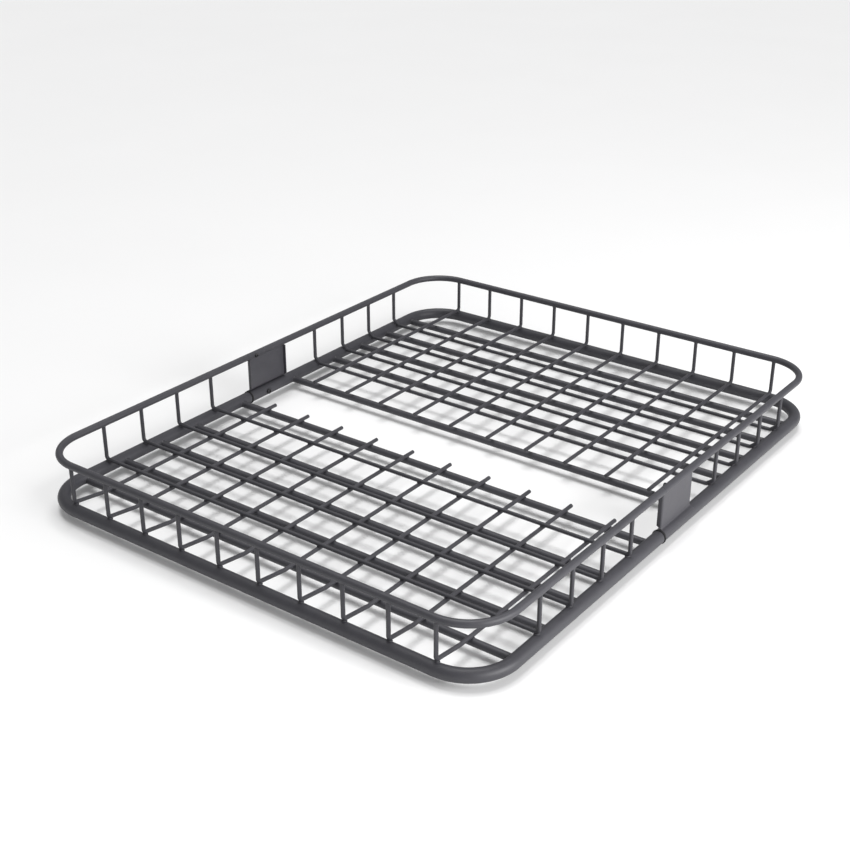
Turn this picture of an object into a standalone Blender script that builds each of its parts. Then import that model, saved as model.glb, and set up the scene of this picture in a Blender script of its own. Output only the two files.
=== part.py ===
"""Roof cargo basket: two welded steel frames that plug together just ahead of mid-length.

X runs across the vehicle, Y along it with the front edge at -Y, and Z up from the ground.
"""

import math

import bmesh
import bpy
from mathutils import Matrix, Vector

# Overall size of the steelwork, in metres
LENGTH = 1.118
WIDTH = 0.914
HEIGHT = 0.1005

# Tube and rod sizes
LOWER_DIAMETER = 0.0222
LOWER_WALL = 0.0016
TOP_DIAMETER = 0.0125
TOP_WALL = 0.0012
SLAT_DIAMETER = 0.0127
SLAT_WALL = 0.0015
WIRE_DIAMETER = 0.0068
SHEET = 0.0015

# Layout
CORNER_RADIUS = 0.078
TOP_INSET = 0.005
JOINT_Y = -0.049
SLAT_Y = (0.074, 0.200, 0.287, 0.374, 0.461)
LONG_WIRE_PITCH = 0.082
LONG_WIRE_COUNT = 10
LONG_WIRE_END_Y = 0.056
CROSS_WIRE_Y = (0.147, 0.234, 0.321, 0.408)
UPPER_WIRE_Z = 0.0254
WIRE_BEND = 0.006
LEG_INSET = 0.0127
FRONT_CROSS_LEG_INSET = 0.0105
LONG_WIRE_FALL = 7.5
CROSS_WIRE_FALL = 40
PLATE_REAR_Y = 0.054
PLATE_FLANGE = 0.0075
PLATE_BEND = 0.004
PLATE_WRAP_END = 33
COLLAR_STAND = 0.0014
COLLAR_LENGTH = 0.003
LOWER_SPLICE_LENGTH = 0.130
LOWER_SPLICE_WALL = 0.0025
LOWER_SCREW_DIAMETER = 0.006
LOWER_SCREW_SETBACK = 0.044
TOP_SPLICE_LENGTH = 0.090
TOP_SCREW_DIAMETER = 0.0045
TOP_SCREW_SETBACK = 0.020

# Clearance left between two pieces that touch
GAP = 0.0003

# Worked out from the sizes above
LOWER_X = (WIDTH - LOWER_DIAMETER) / 2
LOWER_Y = (LENGTH - LOWER_DIAMETER) / 2
LOWER_Z = LOWER_DIAMETER / 2
TOP_X = WIDTH / 2 - TOP_INSET - TOP_DIAMETER / 2
TOP_Y = LENGTH / 2 - TOP_INSET - TOP_DIAMETER / 2
TOP_Z = HEIGHT - TOP_DIAMETER / 2
TOP_CORNER_RADIUS = CORNER_RADIUS + 0.002
LOWER_WIRE_Z = UPPER_WIRE_Z - WIRE_DIAMETER - GAP
SLAT_Z = LOWER_WIRE_Z - WIRE_DIAMETER / 2 - GAP - SLAT_DIAMETER / 2
WIRE_TOP_Z = HEIGHT - TOP_DIAMETER - GAP
LOWER_SPLICE_DIAMETER = LOWER_DIAMETER - 2 * LOWER_WALL - 2 * GAP
TOP_SPLICE_DIAMETER = TOP_DIAMETER - 2 * TOP_WALL - 2 * GAP
PLATE_FRONT_Y = JOINT_Y + COLLAR_LENGTH / 2 + GAP
PLATE_X = TOP_X + SHEET / 2


def clear_scene():
    for obj in list(bpy.data.objects):
        bpy.data.objects.remove(obj, do_unlink=True)


def make_collection(name):
    collection = bpy.data.collections.new(name)
    bpy.context.scene.collection.children.link(collection)
    return collection


def make_material(name, color, roughness, metallic):
    material = bpy.data.materials.new(name)
    material.use_nodes = True
    shader = material.node_tree.nodes["Principled BSDF"]
    shader.inputs["Base Color"].default_value = (*color, 1.0)
    shader.inputs["Roughness"].default_value = roughness
    shader.inputs["Metallic"].default_value = metallic
    material.diffuse_color = (*color, 1.0)
    return material


def smooth(obj, angle=40):
    """Shades round faces smooth and keeps edges sharper than the angle."""
    for polygon in obj.data.polygons:
        polygon.use_smooth = True
    obj.data.set_sharp_from_angle(angle=math.radians(angle))


def rounded_path(corners, radius, steps):
    """The polyline through the corners, with each inner corner turned into an arc."""
    corners = [Vector(corner) for corner in corners]
    path = [corners[0]]
    for before, corner, after in zip(corners, corners[1:], corners[2:]):
        back = (before - corner).normalized()
        ahead = (after - corner).normalized()
        half = back.angle(ahead) / 2
        centre = corner + (back + ahead).normalized() * (radius / math.sin(half))
        start = corner + back * (radius / math.tan(half)) - centre
        axis = back.cross(start).normalized()
        turn = math.pi - 2 * half
        for step in range(steps + 1):
            path.append(centre + Matrix.Rotation(turn * step / steps, 3, axis) @ start)
    path.append(corners[-1])
    return path


def bent_bar(name, path, diameter, half_sides, wall, material):
    """A round rod along the path or, with a wall, an open-ended tube."""
    curve = bpy.data.curves.new(name, "CURVE")
    curve.dimensions = "3D"
    curve.bevel_depth = diameter / 2
    curve.bevel_resolution = half_sides - 2
    curve.use_fill_caps = wall is None
    spline = curve.splines.new("POLY")
    spline.points.add(len(path) - 1)
    for point, place in zip(spline.points, path):
        point.co = (*place, 1.0)
    shaped = bpy.data.objects.new(name + "_path", curve)
    bpy.context.scene.collection.objects.link(shaped)
    if wall is not None:
        thicken(shaped, wall)
    obj = as_mesh(shaped, name, material)
    bpy.data.objects.remove(shaped, do_unlink=True)
    return obj


def thicken(obj, wall):
    """Gives the outer skin its wall, measured inwards."""
    solidify = obj.modifiers.new("wall", "SOLIDIFY")
    solidify.thickness = wall
    solidify.offset = -1.0
    solidify.use_rim = True
    solidify.use_even_offset = True


def as_mesh(source, name, material):
    """A mesh object with the source's finished shape, its seams welded."""
    graph = bpy.context.evaluated_depsgraph_get()
    mesh = bpy.data.meshes.new_from_object(source.evaluated_get(graph))
    mesh.name = name
    mesh.materials.clear()
    mesh.materials.append(material)
    obj = bpy.data.objects.new(name, mesh)
    obj.matrix_world = source.matrix_world.copy()
    basket.objects.link(obj)
    weld_seams(obj)
    smooth(obj)
    return obj


def weld_seams(obj):
    shape = bmesh.new()
    shape.from_mesh(obj.data)
    bmesh.ops.remove_doubles(shape, verts=shape.verts, dist=0.00001)
    bmesh.ops.recalc_face_normals(shape, faces=shape.faces)
    shape.to_mesh(obj.data)
    shape.free()


def cut(obj, cutter):
    boolean = obj.modifiers.new("cut", "BOOLEAN")
    boolean.operation = "DIFFERENCE"
    boolean.solver = "EXACT"
    boolean.object = cutter


def join(obj, other):
    boolean = obj.modifiers.new("join", "BOOLEAN")
    boolean.operation = "UNION"
    boolean.solver = "EXACT"
    boolean.object = other


def helper(obj):
    """Puts a shape that only cuts or joins others out of the render."""
    for collection in obj.users_collection:
        collection.objects.unlink(obj)
    cutters.objects.link(obj)
    obj.hide_render = True
    obj.display_type = "WIRE"
    return obj


def cylinder(name, diameter, length, place, axis, sides, material):
    """A plain cylinder about a world axis, centred on the place."""
    bpy.ops.mesh.primitive_cylinder_add(
        vertices=sides, radius=diameter / 2, depth=length, location=place
    )
    obj = bpy.context.object
    obj.name = name
    obj.data.name = name
    turns = {"X": (0, math.pi / 2, 0), "Y": (math.pi / 2, 0, 0), "Z": (0, 0, 0)}
    obj.rotation_euler = turns[axis]
    place_in_basket(obj, material)
    return obj


def box(name, size, place, material):
    bpy.ops.mesh.primitive_cube_add(size=1, location=place)
    obj = bpy.context.object
    obj.name = name
    obj.data.name = name
    obj.scale = size
    bpy.ops.object.transform_apply(location=False, rotation=False, scale=True)
    place_in_basket(obj, material)
    return obj


def place_in_basket(obj, material):
    for collection in obj.users_collection:
        collection.objects.unlink(obj)
    basket.objects.link(obj)
    obj.data.materials.clear()
    obj.data.materials.append(material)
    smooth(obj)


def rail_half(name, side, half_x, half_y, z, radius, joint_y, diameter, half_sides, wall):
    """A rail's tube around three sides, open at the joint; side -1 is the front half, 1 the rear."""
    corners = (
        (half_x, joint_y, z),
        (half_x, side * half_y, z),
        (-half_x, side * half_y, z),
        (-half_x, joint_y, z),
    )
    path = rounded_path(corners, radius, 7)
    return bent_bar(name, path, diameter, half_sides, wall, steel)


def lower_rail(name, side):
    joint_y = JOINT_Y + side * (COLLAR_LENGTH / 2 + GAP)
    return rail_half(
        name, side, LOWER_X, LOWER_Y, LOWER_Z, CORNER_RADIUS, joint_y, LOWER_DIAMETER, 8, LOWER_WALL
    )


def top_rail(name, side):
    joint_y = JOINT_Y + side * GAP / 2
    return rail_half(
        name, side, TOP_X, TOP_Y, TOP_Z, TOP_CORNER_RADIUS, joint_y, TOP_DIAMETER, 6, TOP_WALL
    )


def rail_clearance(side):
    """The lower rail's straight arm with the gap around it, which shapes the ends of the slats."""
    sides = 32
    diameter = (LOWER_DIAMETER + 2 * GAP) / math.cos(math.pi / sides)
    name = "rail_clearance_left" if side < 0 else "rail_clearance_right"
    place = (side * LOWER_X, 0, LOWER_Z)
    return helper(cylinder(name, diameter, LENGTH, place, "Y", sides, steel))


def slat(name, y, clearances):
    """A round cross tube, its ends hollowed to fit the lower rail."""
    reach = LOWER_X - 0.001
    path = ((-reach, y, SLAT_Z), (reach, y, SLAT_Z))
    obj = bent_bar(name, path, SLAT_DIAMETER, 6, SLAT_WALL, steel)
    for clearance in clearances:
        cut(obj, clearance)
    return obj


def shoulder(leg, rail, fall):
    """For a lower wire whose leg stands over the lower rail: how high it turns in, and where it runs level.

    Between the two it slopes down across the rail's shoulder by the fall, in degrees.
    """
    slope = math.radians(fall)
    reach = (LOWER_DIAMETER + WIRE_DIAMETER) / 2 + GAP
    touch = rail - reach * math.sin(slope)
    height = LOWER_Z + reach * math.cos(slope)
    turn_z = height + (leg - touch) * math.tan(slope)
    return turn_z, touch - (height - LOWER_WIRE_Z) / math.tan(slope)


def wire(name, corners):
    return bent_bar(name, rounded_path(corners, WIRE_BEND, 5), WIRE_DIAMETER, 4, None, steel)


def front_long_wire(name, x):
    """A rod standing over the front lower rail, then down to the floor under the cross wires."""
    leg = LENGTH / 2 - LEG_INSET
    turn_z, level = shoulder(leg, LOWER_Y, LONG_WIRE_FALL)
    corners = (
        (x, -leg, WIRE_TOP_Z),
        (x, -leg, turn_z),
        (x, -level, LOWER_WIRE_Z),
        (x, -LONG_WIRE_END_Y, LOWER_WIRE_Z),
    )
    wire(name, corners)


def rear_long_wire(name, x):
    """A rod standing over the rear lower rail, then along the floor on top of the cross wires."""
    leg = LENGTH / 2 - LEG_INSET
    corners = (
        (x, leg, WIRE_TOP_Z),
        (x, leg, UPPER_WIRE_Z),
        (x, LONG_WIRE_END_Y, UPPER_WIRE_Z),
    )
    wire(name, corners)


def front_cross_wire(name, y):
    """A rod standing over both lower rails, lying on top of the long wires."""
    leg = WIDTH / 2 - FRONT_CROSS_LEG_INSET
    corners = (
        (-leg, y, WIRE_TOP_Z),
        (-leg, y, UPPER_WIRE_Z),
        (leg, y, UPPER_WIRE_Z),
        (leg, y, WIRE_TOP_Z),
    )
    wire(name, corners)


def rear_cross_wire(name, y):
    """A rod standing over both lower rails, then down to the floor under the long wires."""
    leg = WIDTH / 2 - LEG_INSET
    turn_z, level = shoulder(leg, LOWER_X, CROSS_WIRE_FALL)
    corners = (
        (-leg, y, WIRE_TOP_Z),
        (-leg, y, turn_z),
        (-level, y, LOWER_WIRE_Z),
        (level, y, LOWER_WIRE_Z),
        (leg, y, turn_z),
        (leg, y, WIRE_TOP_Z),
    )
    wire(name, corners)


def arc(centre, radius, first, last, steps):
    """Points about a centre in the XZ plane, by angle in degrees."""
    turns = [math.radians(first + (last - first) * step / steps) for step in range(steps + 1)]
    return [(centre[0] + radius * math.cos(turn), centre[1] + radius * math.sin(turn)) for turn in turns]


def plate_profile():
    """Middle of the right side plate's sheet: down from the top rail, out and round the lower rail."""
    wrap = LOWER_DIAMETER / 2 + GAP + SHEET / 2
    bend_x = PLATE_X + PLATE_BEND
    meet = math.acos((bend_x - LOWER_X) / (wrap + PLATE_BEND))
    bend_z = LOWER_Z + (wrap + PLATE_BEND) * math.sin(meet)
    meet = math.degrees(meet)
    bend = arc((bend_x, bend_z), PLATE_BEND, 180, 180 + meet, 4)
    around = arc((LOWER_X, LOWER_Z), wrap, meet, PLATE_WRAP_END, 10)
    return [(PLATE_X, WIRE_TOP_Z)] + bend + around[1:]


def side_plate(name, side):
    """A sheet panel with its front and rear edges folded inwards and its foot round the lower rail."""
    profile = plate_profile()
    shape = bmesh.new()
    rows = []
    for y in (PLATE_FRONT_Y, PLATE_REAR_Y):
        rows.append([shape.verts.new((side * x, y, z)) for x, z in profile])
    for step in range(len(profile) - 1):
        shape.faces.new((rows[0][step], rows[0][step + 1], rows[1][step + 1], rows[1][step]))
    mesh = bpy.data.meshes.new(name)
    shape.to_mesh(mesh)
    shape.free()
    mesh.materials.append(steel)
    obj = bpy.data.objects.new(name, mesh)
    basket.objects.link(obj)
    solidify = obj.modifiers.new("sheet", "SOLIDIFY")
    solidify.thickness = SHEET
    solidify.offset = 0.0
    solidify.use_even_offset = True
    for end, y in (("front", PLATE_FRONT_Y + SHEET / 2), ("rear", PLATE_REAR_Y - SHEET / 2)):
        join(obj, plate_fold(name + "_" + end + "_fold", side, y))
    return obj


def plate_fold(name, side, y):
    low = LOWER_DIAMETER + 2 * GAP
    size = (PLATE_FLANGE, SHEET, WIRE_TOP_Z - low)
    place = (side * (PLATE_X - PLATE_FLANGE / 2), y, (WIRE_TOP_Z + low) / 2)
    return helper(box(name, size, place, steel))


def joint_collar(name, side):
    """A ring between the two lower rails, bored for the splice and flat underneath."""
    place = (side * LOWER_X, JOINT_Y, LOWER_Z)
    outer = LOWER_DIAMETER + 2 * COLLAR_STAND
    bore = LOWER_SPLICE_DIAMETER + 2 * GAP
    obj = cylinder(name, outer, COLLAR_LENGTH, place, "Y", 32, rubber)
    cut(obj, helper(cylinder(name + "_bore", bore, 3 * COLLAR_LENGTH, place, "Y", 32, rubber)))
    under = (place[0], JOINT_Y, GAP - outer / 2)
    cut(obj, helper(box(name + "_underside", (2 * outer, 3 * COLLAR_LENGTH, outer), under, rubber)))
    return obj


def lower_splice(name, side):
    x = side * LOWER_X
    reach = LOWER_SPLICE_LENGTH / 2
    path = ((x, JOINT_Y - reach, LOWER_Z), (x, JOINT_Y + reach, LOWER_Z))
    return bent_bar(name, path, LOWER_SPLICE_DIAMETER, 8, LOWER_SPLICE_WALL, bare_steel)


def top_splice(name, side):
    x = side * TOP_X
    reach = TOP_SPLICE_LENGTH / 2
    path = ((x, JOINT_Y - reach, TOP_Z), (x, JOINT_Y + reach, TOP_Z))
    return bent_bar(name, path, TOP_SPLICE_DIAMETER, 6, None, bare_steel)


def screw(name, side, rail_x, rail_radius, y, z, diameter, length):
    """A domed screw driven outwards from the inner side of a rail."""
    head = 1.8 * diameter
    height = 0.55 * diameter
    profile = bpy.data.meshes.new(name)
    shape = bmesh.new()
    outline = (
        (0, -height),
        (head * 0.25, -height * 0.94),
        (head * 0.42, -height * 0.66),
        (head / 2, 0),
        (diameter / 2, 0),
        (diameter / 2, length - 0.0005),
        (diameter / 2 - 0.0005, length),
        (0, length),
    )
    points = [shape.verts.new((radius, 0, along)) for radius, along in outline]
    for first, second in zip(points, points[1:]):
        shape.edges.new((first, second))
    bmesh.ops.spin(
        shape,
        geom=shape.verts[:] + shape.edges[:],
        axis=(0, 0, 1),
        cent=(0, 0, 0),
        angle=2 * math.pi,
        steps=16,
        use_merge=True,
    )
    bmesh.ops.remove_doubles(shape, verts=shape.verts, dist=0.00001)
    bmesh.ops.recalc_face_normals(shape, faces=shape.faces)
    shape.to_mesh(profile)
    shape.free()
    profile.materials.append(zinc)
    obj = bpy.data.objects.new(name, profile)
    obj.rotation_euler = (0, side * math.pi / 2, 0)
    obj.location = (side * (rail_x - rail_radius - GAP), y, z)
    basket.objects.link(obj)
    smooth(obj)
    return obj


def screw_hole(name, side, rail_x, y, z, diameter, depth, rail_radius):
    """The clearance hole for a screw, from inside the basket to the given depth in the rail."""
    start = rail_radius + 0.003
    size = diameter + 2 * GAP / math.cos(math.pi / 24)
    place = (side * (rail_x - (start + rail_radius - depth) / 2), y, z)
    return helper(cylinder(name, size, start - rail_radius + depth, place, "X", 24, steel))


def lower_joint(side, word, rail):
    y = JOINT_Y + LOWER_SCREW_SETBACK
    radius = LOWER_DIAMETER / 2
    splice = lower_splice("lower_splice_" + word, side)
    hole = screw_hole(
        "lower_screw_hole_" + word, side, LOWER_X, y, LOWER_Z, LOWER_SCREW_DIAMETER, 0.011, radius
    )
    cut(rail, hole)
    cut(splice, hole)
    name = "lower_joint_screw_" + word
    screw(name, side, LOWER_X, radius, y, LOWER_Z, LOWER_SCREW_DIAMETER, 0.009)
    joint_collar("joint_collar_" + word, side)


def top_joint(side, word, rail):
    y = JOINT_Y + TOP_SCREW_SETBACK
    radius = TOP_DIAMETER / 2
    splice = top_splice("top_splice_" + word, side)
    hole = screw_hole(
        "top_screw_hole_" + word, side, TOP_X, y, TOP_Z, TOP_SCREW_DIAMETER, 0.008, radius
    )
    cut(rail, hole)
    cut(splice, hole)
    screw("top_joint_screw_" + word, side, TOP_X, radius, y, TOP_Z, TOP_SCREW_DIAMETER, 0.007)


def build():
    lower_rail("lower_rail_front", -1)
    lower_rear = lower_rail("lower_rail_rear", 1)
    top_rail("top_rail_front", -1)
    top_rear = top_rail("top_rail_rear", 1)
    clearances = (rail_clearance(-1), rail_clearance(1))
    slat_places = sorted([-y for y in SLAT_Y] + list(SLAT_Y))
    for number, y in enumerate(slat_places, start=1):
        slat(f"slat_{number:02d}", y, clearances)
    for number in range(LONG_WIRE_COUNT):
        x = (number - (LONG_WIRE_COUNT - 1) / 2) * LONG_WIRE_PITCH
        front_long_wire(f"long_wire_front_{number + 1:02d}", x)
        rear_long_wire(f"long_wire_rear_{number + 1:02d}", x)
    for number, y in enumerate(CROSS_WIRE_Y, start=1):
        front_cross_wire(f"cross_wire_front_{number:02d}", -y)
        rear_cross_wire(f"cross_wire_rear_{number:02d}", y)
    for side, word in ((-1, "left"), (1, "right")):
        side_plate("side_plate_" + word, side)
        lower_joint(side, word, lower_rear)
        top_joint(side, word, top_rear)


clear_scene()
basket = make_collection("roof_cargo_basket")
cutters = make_collection("cutters")
steel = make_material("powder_coated_steel", (0.045, 0.045, 0.049), 0.5, 0.0)
bare_steel = make_material("plated_steel", (0.45, 0.45, 0.46), 0.35, 1.0)
zinc = make_material("black_screws", (0.03, 0.03, 0.032), 0.4, 0.6)
rubber = make_material("black_rubber", (0.012, 0.012, 0.012), 0.8, 0.0)
build()
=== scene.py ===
"""The roof cargo basket's looks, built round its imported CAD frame.

Metres; X across the vehicle, Y along it with the front edge at -Y, Z up from the floor.
"""

import math
import random

import bmesh
import bpy
from mathutils import Matrix, Vector

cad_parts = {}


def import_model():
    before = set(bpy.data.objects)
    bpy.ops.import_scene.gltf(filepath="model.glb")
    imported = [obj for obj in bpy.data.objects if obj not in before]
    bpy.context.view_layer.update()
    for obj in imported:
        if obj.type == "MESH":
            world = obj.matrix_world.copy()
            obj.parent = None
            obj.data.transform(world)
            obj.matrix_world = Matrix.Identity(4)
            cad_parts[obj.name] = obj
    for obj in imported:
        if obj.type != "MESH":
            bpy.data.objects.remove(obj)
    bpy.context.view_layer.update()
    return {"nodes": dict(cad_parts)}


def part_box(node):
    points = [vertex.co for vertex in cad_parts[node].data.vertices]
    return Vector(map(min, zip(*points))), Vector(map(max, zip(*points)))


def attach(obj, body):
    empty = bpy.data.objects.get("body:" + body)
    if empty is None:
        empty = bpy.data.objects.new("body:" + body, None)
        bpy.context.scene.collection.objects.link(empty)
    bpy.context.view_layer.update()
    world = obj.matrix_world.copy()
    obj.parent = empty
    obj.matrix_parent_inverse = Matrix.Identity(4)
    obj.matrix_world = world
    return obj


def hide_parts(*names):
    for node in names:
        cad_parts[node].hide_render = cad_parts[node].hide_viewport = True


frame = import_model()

# Bend radii and wall thicknesses of the CAD, which its boxes don't give
LOWER_WALL = 0.0016
TOP_WALL = 0.0012
SLAT_WALL = 0.0015
SHEET = 0.0015
LOWER_CORNER = 0.078
TOP_CORNER = 0.080
WIRE_BEND = 0.006
LONG_WIRE_FALL = 7.5
CROSS_WIRE_FALL = 40
PLATE_BEND = 0.004
PLATE_WRAP_END = 33
GAP = 0.0003

# Finer detail than the CAD holds
CORNER_STEPS = 28
BEND_STEPS = 12
LOWER_RAIL_SIDES = 56
TOP_RAIL_SIDES = 40
SLAT_SIDES = 32
WIRE_SIDES = 22
CHAMFER = 0.0004
FOLD_RADIUS = 0.0022

# The studio's floor, a little below the basket so that its shadows fall clear of it
FLOOR_Z = -0.010

random.seed(7)


# ---------------------------------------------------------------- measures read from the frame

def span(node):
    low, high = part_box(node)
    return low, high, (low + high) / 2


low, high, middle = span("lower_rail_front")
LOWER_DIAMETER = high.z - low.z
LOWER_RADIUS = LOWER_DIAMETER / 2
LOWER_X = high.x - LOWER_RADIUS
LOWER_Y = -low.y - LOWER_RADIUS
LOWER_Z = middle.z
LOWER_FRONT_END = high.y
LOWER_REAR_END = span("lower_rail_rear")[0].y
JOINT_Y = (LOWER_FRONT_END + LOWER_REAR_END) / 2
low, high, middle = span("top_rail_front")
TOP_DIAMETER = high.z - low.z
TOP_RADIUS = TOP_DIAMETER / 2
TOP_X = high.x - TOP_RADIUS
TOP_Y = -low.y - TOP_RADIUS
TOP_Z = middle.z
TOP_FRONT_END = high.y
TOP_REAR_END = span("top_rail_rear")[0].y
low, high, middle = span("slat_01")
SLAT_RADIUS = (high.z - low.z) / 2
SLAT_Z = middle.z
low, high, middle = span("long_wire_front_01")
WIRE_RADIUS = (high.x - low.x) / 2
LOWER_WIRE_Z = low.z + WIRE_RADIUS
WIRE_END_Y = -high.y
WIRE_TOP_Z = TOP_Z - TOP_RADIUS - GAP
UPPER_WIRE_Z = span("long_wire_rear_01")[0].z + WIRE_RADIUS


# ---------------------------------------------------------------- mesh building

def rounded_path(corners, radius, steps):
    """The polyline through the corners, with each inner corner turned into an arc."""
    corners = [Vector(corner) for corner in corners]
    path = [corners[0]]
    for before, corner, after in zip(corners, corners[1:], corners[2:]):
        back = (before - corner).normalized()
        ahead = (after - corner).normalized()
        half = back.angle(ahead) / 2
        centre = corner + (back + ahead).normalized() * (radius / math.sin(half))
        start = corner + back * (radius / math.tan(half)) - centre
        axis = back.cross(start).normalized()
        turn = math.pi - 2 * half
        for step in range(steps + 1):
            path.append(centre + Matrix.Rotation(turn * step / steps, 3, axis) @ start)
    path.append(corners[-1])
    return path


def path_frames(path):
    """Each point of the path with two directions across it, which don't twist along the way."""
    tangents = []
    for index in range(len(path)):
        along = Vector()
        if index:
            along += (path[index] - path[index - 1]).normalized()
        if index < len(path) - 1:
            along += (path[index + 1] - path[index]).normalized()
        tangents.append(along.normalized())
    side = tangents[0].orthogonal().normalized()
    frames = []
    for index, tangent in enumerate(tangents):
        if index:
            side = tangents[index - 1].rotation_difference(tangent) @ side
        frames.append((path[index], side, tangent.cross(side)))
    return frames


def ring(point, side, up, radius, sides):
    turns = [2 * math.pi * step / sides for step in range(sides)]
    return [point + radius * (math.cos(turn) * side + math.sin(turn) * up) for turn in turns]


def rings_along(path, radius, sides, chamfer):
    """Rings round the path, drawn in by the chamfer at both ends."""
    first = path[0] + (path[1] - path[0]).normalized() * chamfer
    last = path[-1] + (path[-2] - path[-1]).normalized() * chamfer
    points = [path[0], first] + path[1:-1] + [last, path[-1]]
    radii = [radius - chamfer] + [radius] * (len(points) - 2) + [radius - chamfer]
    return [
        ring(point, side, up, size, sides)
        for (point, side, up), size in zip(path_frames(points), radii)
    ]


class Skin:
    """Points and faces gathered for one mesh."""

    def __init__(self):
        self.points = []
        self.faces = []

    def loft(self, rings, closed=False, caps=True):
        """A skin over the rings; closed joins the last ring to the first."""
        start = len(self.points)
        sides = len(rings[0])
        for row in rings:
            self.points.extend(row)
        rows = len(rings)
        for row in range(rows if closed else rows - 1):
            here = start + row * sides
            there = start + (row + 1) % rows * sides
            for step in range(sides):
                turn = (step + 1) % sides
                self.faces.append((here + step, here + turn, there + turn, there + step))
        if caps and not closed:
            self.faces.append(tuple(start + step for step in reversed(range(sides))))
            self.faces.append(tuple(start + (rows - 1) * sides + step for step in range(sides)))

    def piece(self, name, material, slot, nodes=(), angle=35):
        """The finished mesh object, riding on the basket's one body."""
        mesh = bpy.data.meshes.new(name)
        mesh.from_pydata([tuple(point) for point in self.points], [], self.faces)
        mesh.update()
        mesh.materials.append(material)
        outward(mesh)
        mesh.polygons.foreach_set("use_smooth", [True] * len(mesh.polygons))
        mesh.set_sharp_from_angle(angle=math.radians(angle))
        obj = bpy.data.objects.new(name, mesh)
        bpy.context.scene.collection.objects.link(obj)
        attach(obj, "root")
        if nodes:
            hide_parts(*nodes)
        return obj


def outward(mesh):
    """Turns every face to look out of its closed body."""
    shape = bmesh.new()
    shape.from_mesh(mesh)
    bmesh.ops.recalc_face_normals(shape, faces=shape.faces)
    shape.to_mesh(mesh)
    shape.free()


def tube(path, radius, wall, sides):
    """An open-ended tube as one closed skin: outside, rim, bore, rim."""
    skin = Skin()
    outside = rings_along(path, radius, sides, CHAMFER)
    bore = rings_along(path, radius - wall, sides, 0.0)
    skin.loft(outside + list(reversed(bore)), closed=True)
    return skin


def rod(path, radius, sides):
    skin = Skin()
    skin.loft(rings_along(path, radius, sides, CHAMFER))
    return skin


# ---------------------------------------------------------------- materials

class Nodes:
    """A short way to write a material's node tree."""

    def __init__(self, name):
        self.material = bpy.data.materials.new(name)
        self.material.use_nodes = True
        self.tree = self.material.node_tree
        self.shader = self.tree.nodes["Principled BSDF"]
        self.place = self.node("ShaderNodeTexCoord").outputs["Object"]

    def node(self, kind, **settings):
        made = self.tree.nodes.new(kind)
        for key, value in settings.items():
            setattr(made, key, value)
        return made

    def feed(self, socket, value):
        if isinstance(value, bpy.types.NodeSocket):
            self.tree.links.new(value, socket)
        else:
            socket.default_value = value

    def noise(self, scale, detail=2.0, roughness=0.5, place=None):
        made = self.node("ShaderNodeTexNoise")
        self.feed(made.inputs["Vector"], place or self.place)
        made.inputs["Scale"].default_value = scale
        made.inputs["Detail"].default_value = detail
        made.inputs["Roughness"].default_value = roughness
        return made.outputs["Fac"]

    def cells(self, scale, feature="F1"):
        made = self.node("ShaderNodeTexVoronoi", feature=feature)
        self.feed(made.inputs["Vector"], self.place)
        made.inputs["Scale"].default_value = scale
        return made.outputs["Distance"]

    def spread(self, value, low, high, to_low=0.0, to_high=1.0):
        """Maps the value's range from low..high to another, clamped."""
        made = self.node("ShaderNodeMapRange")
        for socket, number in zip(
            ("Value", "From Min", "From Max", "To Min", "To Max"),
            (value, low, high, to_low, to_high),
        ):
            self.feed(made.inputs[socket], number)
        return made.outputs["Result"]

    def math(self, operation, first, second=0.0):
        made = self.node("ShaderNodeMath", operation=operation)
        self.feed(made.inputs[0], first)
        self.feed(made.inputs[1], second)
        return made.outputs[0]

    def mix(self, share, first, second):
        made = self.node("ShaderNodeMix", data_type="RGBA")
        self.feed(made.inputs["Factor"], share)
        for socket, value in (("A", first), ("B", second)):
            colour = [s for s in made.inputs if s.name == socket and s.type == "RGBA"][0]
            self.feed(colour, value if isinstance(value, bpy.types.NodeSocket) else (*value, 1.0))
        return [s for s in made.outputs if s.type == "RGBA"][0]

    def stretched(self, scale):
        made = self.node("ShaderNodeMapping")
        self.feed(made.inputs["Vector"], self.place)
        made.inputs["Scale"].default_value = scale
        return made.outputs["Vector"]

    def edge(self, radius):
        """How far the normal differs from the one averaged over the radius: 1 at a hard edge."""
        rounded = self.node("ShaderNodeBevel", samples=4)
        rounded.inputs["Radius"].default_value = radius
        plain = self.node("ShaderNodeNewGeometry")
        product = self.node("ShaderNodeVectorMath", operation="DOT_PRODUCT")
        self.feed(product.inputs[0], rounded.outputs["Normal"])
        self.feed(product.inputs[1], plain.outputs["Normal"])
        return self.spread(product.outputs["Value"], 0.97, 0.75)

    def bump(self, heights):
        """Stacks (height, strength, distance) into the shader's normal."""
        normal = None
        for height, strength, distance in heights:
            made = self.node("ShaderNodeBump")
            made.inputs["Strength"].default_value = strength
            made.inputs["Distance"].default_value = distance
            self.feed(made.inputs["Height"], height)
            if normal is not None:
                self.feed(made.inputs["Normal"], normal)
            normal = made.outputs["Normal"]
        self.feed(self.shader.inputs["Normal"], normal)

    def finish(self, colour, roughness, metallic=0.0, specular=0.5):
        self.feed(self.shader.inputs["Base Color"], colour)
        self.feed(self.shader.inputs["Roughness"], roughness)
        self.shader.inputs["Metallic"].default_value = metallic
        self.shader.inputs["Specular IOR Level"].default_value = specular
        return self.material


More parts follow.
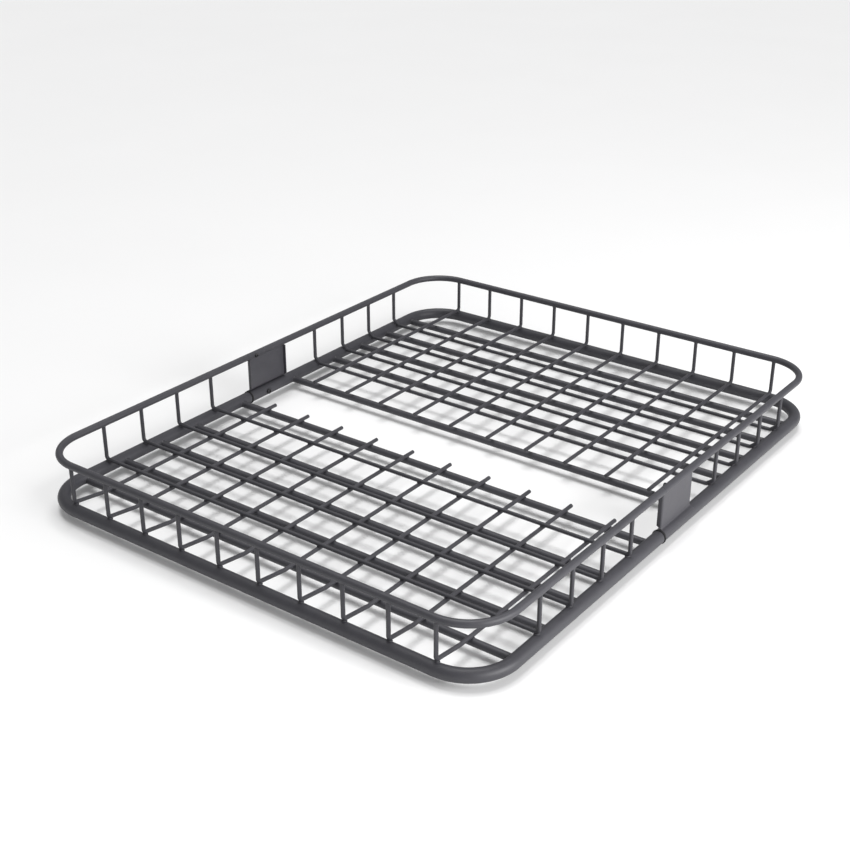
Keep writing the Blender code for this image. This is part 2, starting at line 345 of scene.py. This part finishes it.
def powder_coat(name, dark, light, worn_share):
    """Satin dark grey powder coat: orange peel, speckle, slow drifts in tone, a little edge wear."""
    m = Nodes(name)
    drift = m.noise(9.0, 3.0)
    cloud = m.noise(70.0, 4.0, 0.6)
    grain = m.noise(1100.0, 2.0, 0.6)
    speck = m.spread(m.cells(900.0), 0.10, 0.32)
    tone = m.math("MULTIPLY_ADD", grain, 0.45)
    tone.node.inputs[2].default_value = 0.0
    tone = m.math("ADD", tone, m.math("MULTIPLY", cloud, 0.30))
    tone = m.math("ADD", tone, m.math("MULTIPLY", drift, 0.25))
    base = m.mix(m.spread(tone, 0.30, 0.70), dark, light)
    base = m.mix(m.spread(speck, 0.0, 1.0, 0.22, 0.0), base, tuple(2.0 * c for c in light))
    chips = m.spread(m.noise(420.0, 3.0, 0.7), 0.50, 0.62)
    worn = m.math("MULTIPLY", m.math("MULTIPLY", m.edge(0.0009), chips), worn_share)
    colour = m.mix(worn, base, (0.24, 0.235, 0.23))
    blend = m.math("ADD", m.math("MULTIPLY", cloud, 0.5), m.math("MULTIPLY", grain, 0.5))
    rough = m.spread(blend, 0.3, 0.7, 0.43, 0.57)
    rough = m.math("SUBTRACT", rough, m.math("MULTIPLY", worn, 0.12))
    m.bump((
        (m.noise(45.0, 2.0), 0.25, 0.0002),
        (m.noise(620.0, 2.0, 0.55), 0.35, 0.00012),
        (grain, 0.18, 0.00006),
    ))
    return m.finish(colour, rough)


def collar_rubber():
    """Matt black moulded rubber with a faint bloom and fine pores."""
    m = Nodes("collar_rubber")
    bloom = m.noise(160.0, 4.0, 0.6)
    base = m.mix(m.spread(bloom, 0.35, 0.7), (0.010, 0.010, 0.011), (0.022, 0.022, 0.023))
    worn = m.math("MULTIPLY", m.edge(0.0006), m.spread(m.noise(700.0, 3.0), 0.45, 0.6, 0.0, 0.5))
    colour = m.mix(worn, base, (0.055, 0.055, 0.056))
    m.bump(((m.noise(1500.0, 2.0), 0.3, 0.00008), (m.cells(2200.0), 0.15, 0.00005)))
    return m.finish(colour, m.spread(bloom, 0.3, 0.7, 0.62, 0.82), specular=0.35)


def screw_steel():
    """Black-plated screws, the plating rubbed thin on the socket's and head's edges."""
    m = Nodes("screw_steel")
    cloud = m.noise(500.0, 4.0, 0.6)
    base = m.mix(m.spread(cloud, 0.35, 0.7), (0.030, 0.030, 0.033), (0.065, 0.064, 0.066))
    worn = m.math("MULTIPLY", m.edge(0.0005), m.spread(m.noise(900.0, 3.0), 0.42, 0.6, 0.1, 0.9))
    colour = m.mix(worn, base, (0.42, 0.41, 0.40))
    m.bump(((m.noise(1300.0, 3.0), 0.25, 0.00006),))
    return m.finish(colour, m.spread(cloud, 0.3, 0.7, 0.30, 0.48), metallic=0.8)


def splice_steel():
    """Bare drawn steel: lengthwise draw lines and faint oily patches."""
    m = Nodes("splice_steel")
    lines = m.noise(260.0, 4.0, 0.65, m.stretched((6.0, 0.08, 6.0)))
    patch = m.noise(60.0, 4.0, 0.6)
    base = m.mix(m.spread(lines, 0.3, 0.7), (0.38, 0.38, 0.39), (0.58, 0.575, 0.57))
    colour = m.mix(m.spread(patch, 0.45, 0.75, 0.0, 0.4), base, (0.27, 0.25, 0.23))
    worn = m.math("MULTIPLY", m.edge(0.0006), m.spread(m.noise(700.0), 0.4, 0.6, 0.2, 0.8))
    colour = m.mix(worn, colour, (0.70, 0.70, 0.70))
    m.bump(((lines, 0.25, 0.00005),))
    return m.finish(colour, m.spread(patch, 0.3, 0.7, 0.26, 0.44), metallic=1.0)


def floor_material():
    """A plain pale studio floor, matt with the faintest mottling."""
    m = Nodes("studio_floor")
    colour = m.mix(m.noise(2.0, 3.0), (0.86, 0.86, 0.86), (0.88, 0.88, 0.88))
    m.bump(((m.noise(300.0, 3.0), 0.05, 0.0002),))
    return m.finish(colour, m.spread(m.noise(4.0), 0.3, 0.7, 0.85, 0.95), specular=0.1)


rail_coat = powder_coat("powder_coat_rails", (0.0330, 0.0325, 0.0385), (0.0530, 0.0520, 0.0610), 0.55)
# Wires: a darker copy of the same powder coat, the darkening a painted shade of the thin wires
wire_coat_painted_shade = powder_coat("powder_coat_wires_painted_shade", (0.0290, 0.0285, 0.0340), (0.0460, 0.0450, 0.0530), 0.55)
# Side plates: a lighter copy of the same powder coat, the lightening a painted light of the plates' face
# turned to the light
plate_coat_painted_light = powder_coat("powder_coat_plates_painted_light", (0.0400, 0.0390, 0.0460), (0.0620, 0.0605, 0.0700), 0.8)
# Welds: a darker copy of the same powder coat, the darkening a painted shade of the shadowed joints
weld_coat_painted_shade = powder_coat("powder_coat_welds_painted_shade", (0.0240, 0.0235, 0.0280), (0.0400, 0.0390, 0.0460), 0.2)
rubber = collar_rubber()
black_zinc = screw_steel()
bare_steel = splice_steel()


# ---------------------------------------------------------------- rails

def rail(name, side, half_x, half_y, z, corner, end_y, radius, wall, sides):
    """A U of tube round three sides, open at the joint; side -1 is the front half, 1 the rear."""
    corners = (
        (half_x, end_y, z),
        (half_x, side * half_y, z),
        (-half_x, side * half_y, z),
        (-half_x, end_y, z),
    )
    path = rounded_path(corners, corner, CORNER_STEPS)
    tube(path, radius, wall, sides).piece(name, rail_coat, "powder_coat", [name.replace("coated_", "")])


for word, side, lower_end, top_end in (
    ("front", -1, LOWER_FRONT_END, TOP_FRONT_END),
    ("rear", 1, LOWER_REAR_END, TOP_REAR_END),
):
    rail(
        "coated_lower_rail_" + word, side, LOWER_X, LOWER_Y, LOWER_Z,
        LOWER_CORNER, lower_end, LOWER_RADIUS, LOWER_WALL, LOWER_RAIL_SIDES,
    )
    rail(
        "coated_top_rail_" + word, side, TOP_X, TOP_Y, TOP_Z,
        TOP_CORNER, top_end, TOP_RADIUS, TOP_WALL, TOP_RAIL_SIDES,
    )


# ---------------------------------------------------------------- slats

def slat(node):
    """A cross tube whose coped ends follow the lower rails' round sides."""
    y = span(node)[2].y
    path = [Vector((share * LOWER_X, y, SLAT_Z)) for share in (-1, -0.3, 0.3, 1)]
    skin = Skin()
    rings = []
    for radius in (SLAT_RADIUS, SLAT_RADIUS - SLAT_WALL):
        rows = [ring(point, across, up, radius, SLAT_SIDES) for point, across, up in path_frames(path)]
        for row, way in ((rows[0], -1), (rows[-1], 1)):
            for point in row:
                point.x = way * (LOWER_X - math.sqrt(LOWER_RADIUS**2 - (point.z - LOWER_Z) ** 2) + 0.0005)
        rings.append(rows)
    skin.loft(rings[0] + list(reversed(rings[1])), closed=True)
    skin.piece("coated_" + node, rail_coat, "powder_coat", [node])


SLATS = [f"slat_{number:02d}" for number in range(1, 11)]
for node in SLATS:
    slat(node)


# ---------------------------------------------------------------- wires

def shoulder(leg, rail, fall):
    """How high a lower wire's leg turns in over the lower rail, and where it then runs level."""
    slope = math.radians(fall)
    reach = LOWER_RADIUS + WIRE_RADIUS + GAP
    touch = rail - reach * math.sin(slope)
    height = LOWER_Z + reach * math.cos(slope)
    turn_z = height + (leg - touch) * math.tan(slope)
    return turn_z, touch - (height - LOWER_WIRE_Z) / math.tan(slope)


def into_rail(path, ends):
    """Carries the path's upper ends into the top rail's wall."""
    reach = TOP_WALL + GAP - 0.0001
    if ends[0]:
        path[0] = path[0] + (path[0] - path[1]).normalized() * reach
    if ends[1]:
        path[-1] = path[-1] + (path[-1] - path[-2]).normalized() * reach
    return path


def long_wire(node, side):
    low, high, middle = span(node)
    x = middle.x
    leg = max(-low.y, high.y) - WIRE_RADIUS
    if side < 0:
        turn_z, level = shoulder(leg, LOWER_Y, LONG_WIRE_FALL)
        feet = (
            (x, side * leg, turn_z),
            (x, side * level, LOWER_WIRE_Z),
            (x, side * WIRE_END_Y, LOWER_WIRE_Z),
        )
    else:
        feet = ((x, side * leg, UPPER_WIRE_Z), (x, side * WIRE_END_Y, UPPER_WIRE_Z))
    corners = ((x, side * leg, WIRE_TOP_Z), *feet)
    return into_rail(rounded_path(corners, WIRE_BEND, BEND_STEPS), (True, False))


def cross_wire(node, side):
    low, high, middle = span(node)
    y = middle.y
    leg = high.x - WIRE_RADIUS
    if side > 0:
        turn_z, level = shoulder(leg, LOWER_X, CROSS_WIRE_FALL)
        foot = ((leg, y, turn_z), (level, y, LOWER_WIRE_Z))
    else:
        foot = ((leg, y, UPPER_WIRE_Z),)
    right = ((leg, y, WIRE_TOP_Z), *foot)
    left = tuple((-x, y, z) for x, y, z in right)
    return into_rail(rounded_path((*left, *reversed(right)), WIRE_BEND, BEND_STEPS), (True, True))


long_wires, cross_wires = {}, {}
for word, side in (("front", -1), ("rear", 1)):
    for number in range(1, 11):
        node = f"long_wire_{word}_{number:02d}"
        long_wires[node] = long_wire(node, side)
    for number in range(1, 5):
        node = f"cross_wire_{word}_{number:02d}"
        cross_wires[node] = cross_wire(node, side)
for node, path in (*long_wires.items(), *cross_wires.items()):
    # The wires wear the darker copy of the powder coat: painted shade
    rod(path, WIRE_RADIUS, WIRE_SIDES).piece("coated_" + node, wire_coat_painted_shade, "powder_coat", [node])


# ---------------------------------------------------------------- welds

def hit(point, way, rail_point, rail_way, rail_radius):
    """How far along the way the rail's round side is, or None past its edge."""
    offset = point - rail_point
    offset -= offset.dot(rail_way) * rail_way
    across = way - way.dot(rail_way) * rail_way
    a, b, c = across.dot(across), offset.dot(across), offset.dot(offset) - rail_radius**2
    inside = b * b - a * c
    return None if inside < 0 else (-b - math.sqrt(inside)) / a


def ripple(count, size):
    """A closed run of shares round 1, as the ripples of a hand-laid bead."""
    phases = [random.uniform(0, 2 * math.pi) for _ in range(3)]
    shares = []
    for step in range(count):
        turn = 2 * math.pi * step / count
        wave = math.sin(2 * turn + phases[0])
        wave += 0.7 * math.sin(3 * turn + phases[1]) + 0.5 * math.sin(9 * turn + phases[2])
        shares.append(1 + size * wave)
    return shares


def collar_weld(skin, foot, way, radius, rail_point, rail_way, rail_radius, width, height):
    """A fillet bead all round a bar where it meets the side of a rail."""
    sides, steps = 28, 6
    side = way.orthogonal().normalized()
    up = way.cross(side)
    swell = ripple(sides, 0.07)
    rings = [[] for _ in range(steps + 3)]
    for step in range(sides):
        turn = 2 * math.pi * step / sides
        out = math.cos(turn) * side + math.sin(turn) * up
        w, h = width * swell[step], height * swell[(step * 5 + 3) % sides]
        near = hit(foot + radius * out, way, rail_point, rail_way, rail_radius)
        far = hit(foot + (radius + w) * out, way, rail_point, rail_way, rail_radius)
        if near is None or far is None:
            near = far = 0.0
        start = foot + (radius - 0.0001) * out + (near - h) * way
        end = foot + (radius + w) * out + (far + 0.0001) * way
        corner = foot + radius * out + near * way
        pull = corner.lerp((start + end) / 2, 0.62)
        for index in range(steps + 1):
            t = index / steps
            rings[index].append((1 - t) ** 2 * start + 2 * t * (1 - t) * pull + t**2 * end)
        rings[steps + 1].append(foot + radius * 0.7 * out + (near + 0.0004) * way)
        rings[steps + 2].append(foot + (radius - 0.0006) * out + (near - 0.7 * h) * way)
    skin.loft(rings, closed=True)


def nugget_weld(skin, centre, first, second, sizes):
    """A lump of weld metal at a crossing, between two bars that run along first and second."""
    normal = first.cross(second).normalized()
    rows, sides = 9, 18
    swell = ripple(sides, 0.05)
    squeeze = random.uniform(0.92, 1.08)
    rings = []
    for row in range(rows):
        tilt = math.pi * (row + 0.5) / rows - math.pi / 2
        flat = math.copysign(abs(math.sin(tilt)) ** 0.8, tilt)
        reach = math.cos(tilt) ** 0.7
        line = []
        for step in range(sides):
            turn = 2 * math.pi * step / sides
            size = reach * swell[step]
            line.append(
                centre
                + first * (sizes[0] * squeeze * size * math.cos(turn))
                + second * (sizes[1] / squeeze * size * math.sin(turn))
                + normal * (sizes[2] * flat)
            )
        rings.append(line)
    skin.loft(rings)


def closest(path, rail_point, rail_way):
    """Where a wire's path comes nearest a rail: distance, point, direction along it, way to the rail."""
    best = None
    for first, second in zip(path, path[1:]):
        for step in range(8):
            point = first.lerp(second, step / 8)
            offset = rail_point - point
            offset -= offset.dot(rail_way) * rail_way
            if best is None or offset.length < best[0]:
                best = (offset.length, point, (second - first).normalized(), offset)
    return best


X_AXIS, Y_AXIS = Vector((1, 0, 0)), Vector((0, 1, 0))

top_welds = {"front": Skin(), "rear": Skin()}
rail_welds = {"front": Skin(), "rear": Skin()}
crossing_welds = {"front": Skin(), "rear": Skin()}


def weld_leg(word, leg, top_point, lower_point, rail_way):
    """Both welds of one leg; the path starts at its upper end."""
    way = (leg[0] - leg[1]).normalized()
    collar_weld(
        top_welds[word], leg[1], way, WIRE_RADIUS, top_point, rail_way, TOP_RADIUS,
        random.uniform(0.0010, 0.0013), random.uniform(0.0013, 0.0018),
    )
    distance, point, along, offset = closest(leg, lower_point, rail_way)
    centre = point + offset.normalized() * (WIRE_RADIUS + (distance - WIRE_RADIUS - LOWER_RADIUS) / 2)
    depth = 0.0018 + (distance - WIRE_RADIUS - LOWER_RADIUS) / 2
    nugget_weld(rail_welds[word], centre, along, rail_way, (0.0046, 0.0046, depth))


for node, path in long_wires.items():
    word = "front" if "front" in node else "rear"
    side = -1 if word == "front" else 1
    weld_leg(
        word, path,
        Vector((0, side * TOP_Y, TOP_Z)), Vector((0, side * LOWER_Y, LOWER_Z)), X_AXIS,
    )
for node, path in cross_wires.items():
    word = "front" if "front" in node else "rear"
    for side, leg in ((-1, path), (1, list(reversed(path)))):
        weld_leg(
            word, leg[: len(leg) // 2 + 1],
            Vector((side * TOP_X, 0, TOP_Z)), Vector((side * LOWER_X, 0, LOWER_Z)), Y_AXIS,
        )
for node, path in long_wires.items():
    word = "front" if "front" in node else "rear"
    x = path[0].x
    between = (LOWER_WIRE_Z + UPPER_WIRE_Z) / 2
    for other, crossing in cross_wires.items():
        if word in other:
            centre = Vector((x, crossing[0].y, between))
            nugget_weld(crossing_welds[word], centre, X_AXIS, Y_AXIS, (0.0038, 0.0038, 0.0012))
    if word == "front":
        for slat_node in SLATS[:5]:
            centre = Vector((x, span(slat_node)[2].y, LOWER_WIRE_Z - WIRE_RADIUS - GAP / 2))
            nugget_weld(crossing_welds[word], centre, X_AXIS, Y_AXIS, (0.0048, 0.0040, 0.0013))
for word in ("front", "rear"):
    # The welds wear the darker copy of the powder coat: painted shade
    top_welds[word].piece("top_rail_welds_" + word, weld_coat_painted_shade, "powder_coat", angle=60)
    rail_welds[word].piece("lower_rail_welds_" + word, weld_coat_painted_shade, "powder_coat", angle=60)
    crossing_welds[word].piece("crossing_welds_" + word, weld_coat_painted_shade, "powder_coat", angle=60)

slat_welds = Skin()
for node in SLATS:
    y = span(node)[2].y
    for side in (-1, 1):
        collar_weld(
            slat_welds, Vector((side * 0.40, y, SLAT_Z)), side * X_AXIS, SLAT_RADIUS,
            Vector((side * LOWER_X, 0, LOWER_Z)), Y_AXIS, LOWER_RADIUS,
            random.uniform(0.0012, 0.0015), random.uniform(0.0022, 0.0028),
        )
# The slat end welds wear the darker copy of the powder coat: painted shade
slat_welds.piece("slat_end_welds", weld_coat_painted_shade, "powder_coat", angle=60)


# ---------------------------------------------------------------- side plates

def arc(centre, radius, first, last, steps):
    """Points about a centre in the XZ plane, by angle in degrees."""
    turns = [math.radians(first + (last - first) * step / steps) for step in range(steps + 1)]
    return [(centre[0] + radius * math.cos(turn), centre[1] + radius * math.sin(turn)) for turn in turns]


def ease(value):
    value = min(max(value, 0.0), 1.0)
    return value * value * (3 - 2 * value)


def side_plate(word, side):
    """A pressed panel: edges folded inwards with real radii, foot curving out round the lower rail."""
    low, high, middle = span("side_plate_" + word)
    plate_x = TOP_X + SHEET / 2
    front, rear = low.y, high.y
    flange = plate_x + SHEET / 2 - min(abs(low.x), abs(high.x)) - SHEET / 2
    wrap = LOWER_RADIUS + 0.00005 + SHEET / 2
    bend_x = plate_x + PLATE_BEND
    meet = math.acos((bend_x - LOWER_X) / (wrap + PLATE_BEND))
    bend_z = LOWER_Z + (wrap + PLATE_BEND) * math.sin(meet)
    meet = math.degrees(meet)
    top = TOP_Z - TOP_RADIUS + 0.0005
    straight = [(plate_x, top + (bend_z - top) * step / 24) for step in range(24)]
    profile = straight + arc((bend_x, bend_z), PLATE_BEND, 180, 180 + meet, 14)
    profile += arc((LOWER_X, LOWER_Z), wrap, meet, PLATE_WRAP_END, 16)[1:]
    # across the panel: (how far in from the edge, how far the fold has turned, share of the flange)
    turn_steps, flange_steps, web_steps = 8, 4, 14
    points, faces = [], []
    for x, z in profile:
        open_share = 1 - ease((z - (LOWER_DIAMETER + 0.0016)) / 0.005)
        row = []
        for edge, way in ((front + SHEET / 2, 1), (rear - SHEET / 2, -1)):
            fold = []
            for step in range(flange_steps):
                depth = flange - (flange - FOLD_RADIUS) * step / flange_steps
                fold.append((x - depth, edge))
            for step in range(turn_steps + 1):
                turn = math.radians(90 * step / turn_steps)
                across = x - FOLD_RADIUS * (1 - math.sin(turn))
                fold.append((across, edge + way * FOLD_RADIUS * (1 - math.cos(turn))))
            count = len(fold) - 1
            flat = [
                (x, edge - way * SHEET / 2 + way * (FOLD_RADIUS + SHEET / 2) * index / count)
                for index in range(count + 1)
            ]
            joined = [
                (a[0] + (b[0] - a[0]) * open_share, a[1] + (b[1] - a[1]) * open_share)
                for a, b in zip(fold, flat)
            ]
            row.append(joined)
        begin, end = row[0][-1][1], row[1][-1][1]
        web = [(x, begin + (end - begin) * step / web_steps) for step in range(1, web_steps)]
        line = row[0] + web + list(reversed(row[1]))
        points.extend(Vector((side * px, py, z)) for px, py in line)
        columns = len(line)
    for r in range(len(profile) - 1):
        for c in range(columns - 1):
            here = r * columns + c
            faces.append((here, here + 1, here + columns + 1, here + columns))
    skin = Skin()
    skin.points, skin.faces = points, faces
    # The panel wears the lighter copy of the powder coat, its extra lightness a painted light
    obj = skin.piece(
        "coated_side_plate_" + word, plate_coat_painted_light, "powder_coat", ["side_plate_" + word], angle=50
    )
    thick = obj.modifiers.new("sheet", "SOLIDIFY")
    thick.thickness = SHEET
    thick.offset = 0.0
    thick.use_even_offset = True
    soften = obj.modifiers.new("edges", "BEVEL")
    soften.width = 0.00035
    soften.segments = 3
    soften.limit_method = "ANGLE"
    soften.angle_limit = math.radians(60)


for word, side in (("left", -1), ("right", 1)):
    side_plate(word, side)


# ---------------------------------------------------------------- joint rings and screws

def turned(outline, centre, axis, sides):
    """Rings of a shape turned about an axis: the outline is (radius, distance along)."""
    side = axis.orthogonal().normalized()
    up = axis.cross(side)
    return [ring(centre + axis * along, side, up, radius, sides) for radius, along in outline]


def joint_collar(word, side):
    """A moulded ring round the splice, its rims rounded and its underside trimmed level with the floor."""
    node = "joint_collar_" + word
    low, high, middle = span(node)
    outer = high.z - LOWER_Z
    half = (high.y - low.y) / 2
    bore = LOWER_RADIUS - LOWER_WALL
    round_off = 0.0007
    outline = [(bore, half - 0.0002), (bore + 0.0002, half)]
    for rim, steps in ((half - round_off, range(7)), (-half + round_off, range(6, 13))):
        for t in [math.pi * step / 12 for step in steps]:
            outline.append((outer - round_off + round_off * math.sin(t), rim + round_off * math.cos(t)))
    outline += [(bore + 0.0002, -half), (bore, -half + 0.0002)]
    rings = turned(outline, Vector((side * LOWER_X, JOINT_Y, LOWER_Z)), Y_AXIS, 72)
    for row in rings:
        for point in row:
            point.z = max(point.z, low.z)
    skin = Skin()
    skin.loft(rings, closed=True)
    skin.piece("moulded_" + node, rubber, "collar_rubber", [node])


def socket_screw(node, side):
    """A domed screw head with a hexagonal driver socket, on its shank."""
    low, high, middle = span(node)
    head = (high.z - low.z) / 2
    shank = head / 1.8
    height = 0.55 * 2 * shank
    inner, tip = (low.x, high.x) if side > 0 else (high.x, low.x)
    seat = inner + side * height
    way = side * X_AXIS
    sides = 36
    centre = Vector((seat, middle.y, middle.z))
    across = way.orthogonal().normalized()
    up = way.cross(across)
    key = 0.52 * head
    rings = []
    for reach, depth in ((key, -0.30), (key, -0.93), (key * 1.04, -0.97)):
        row = []
        for step in range(sides):
            turn = 2 * math.pi * step / sides
            six = math.cos(math.pi / 6) / math.cos((turn % (math.pi / 3)) - math.pi / 6)
            out = math.cos(turn) * across + math.sin(turn) * up
            row.append(centre + way * (depth * height) + reach * six * out)
        rings.append(row)
    dome = (
        (0.62, -0.985), (0.75, -0.90), (0.86, -0.74), (0.94, -0.50),
        (0.985, -0.24), (1.0, -0.08), (0.985, 0.0),
    )
    for reach, depth in dome:
        rings.append(ring(centre + way * (depth * height), across, up, reach * head, sides))
    length = abs(tip - seat)
    for reach, along in ((shank, 0.0), (shank, length - 0.0005), (shank - 0.0005, length)):
        rings.append(ring(centre + way * along, across, up, reach, sides))
    skin = Skin()
    skin.loft(rings)
    skin.piece("turned_" + node, black_zinc, "screw_steel", [node], angle=30)


for word, side in (("left", -1), ("right", 1)):
    joint_collar(word, side)
    for kind in ("lower", "top"):
        socket_screw(f"{kind}_joint_screw_{word}", side)
        splice = frame["nodes"][f"{kind}_splice_{word}"]
        splice.data.materials.clear()
        splice.data.materials.append(bare_steel)


# ---------------------------------------------------------------- stage, light and camera

def floor():
    mesh = bpy.data.meshes.new("floor")
    size, rows = 14.0, 8
    columns = rows + 1
    points = [
        (-size + 2 * size * c / rows, -size + 2 * size * r / rows, FLOOR_Z)
        for r in range(columns)
        for c in range(columns)
    ]
    faces = [
        (r * columns + c, r * columns + c + 1, (r + 1) * columns + c + 1, (r + 1) * columns + c)
        for r in range(rows)
        for c in range(rows)
    ]
    mesh.from_pydata(points, [], faces)
    mesh.materials.append(floor_material())
    obj = bpy.data.objects.new("floor", mesh)
    bpy.context.scene.collection.objects.link(obj)


def world():
    made = bpy.data.worlds.new("studio")
    bpy.context.scene.world = made
    made.use_nodes = True
    tree = made.node_tree
    background = tree.nodes["Background"]
    place = tree.nodes.new("ShaderNodeTexCoord")
    split = tree.nodes.new("ShaderNodeSeparateXYZ")
    ramp = tree.nodes.new("ShaderNodeValToRGB")
    tree.links.new(place.outputs["Generated"], split.inputs[0])
    tree.links.new(split.outputs["Z"], ramp.inputs["Fac"])
    tree.links.new(ramp.outputs["Color"], background.inputs["Color"])
    ramp.color_ramp.elements[0].position = 0.0
    ramp.color_ramp.elements[0].color = (0.62, 0.62, 0.64, 1)
    ramp.color_ramp.elements[1].position = 0.75
    ramp.color_ramp.elements[1].color = (1.0, 1.0, 1.0, 1)
    background.inputs["Strength"].default_value = 0.42


def aim(obj, place, target):
    obj.location = place
    obj.rotation_euler = (Vector(target) - Vector(place)).to_track_quat("-Z", "Y").to_euler()


def area_light(name, place, target, width, depth, power):
    light = bpy.data.lights.new(name, "AREA")
    light.shape = "RECTANGLE"
    light.size, light.size_y = width, depth
    light.energy = power
    obj = bpy.data.objects.new(name, light)
    bpy.context.scene.collection.objects.link(obj)
    aim(obj, place, target)


def sun_light(name, place, spread, strength):
    light = bpy.data.lights.new(name, "SUN")
    light.angle = math.radians(spread)
    light.energy = strength
    obj = bpy.data.objects.new(name, light)
    bpy.context.scene.collection.objects.link(obj)
    aim(obj, place, (0, 0, 0))


def camera():
    made = bpy.data.cameras.new("camera")
    made.lens = 58.5
    made.sensor_width = 36
    obj = bpy.data.objects.new("camera", made)
    bpy.context.scene.collection.objects.link(obj)
    azimuth, elevation = math.radians(36.65), math.radians(25.92)
    forward = Vector((
        -math.sin(azimuth) * math.cos(elevation),
        math.cos(azimuth) * math.cos(elevation),
        -math.sin(elevation),
    ))
    obj.location = (1.2836, -1.8007, 1.1357)
    obj.rotation_euler = forward.to_track_quat("-Z", "Y").to_euler()
    bpy.context.scene.camera = obj


floor()
world()
sun_light("key_sun", (-0.3, 0.35, 2.4), 30, 1.9)
area_light("right_softbox", (2.6, -0.2, 0.9), (0, 0, 0.05), 2.2, 1.2, 78)
camera()
bpy.context.scene.view_settings.view_transform = "Standard"
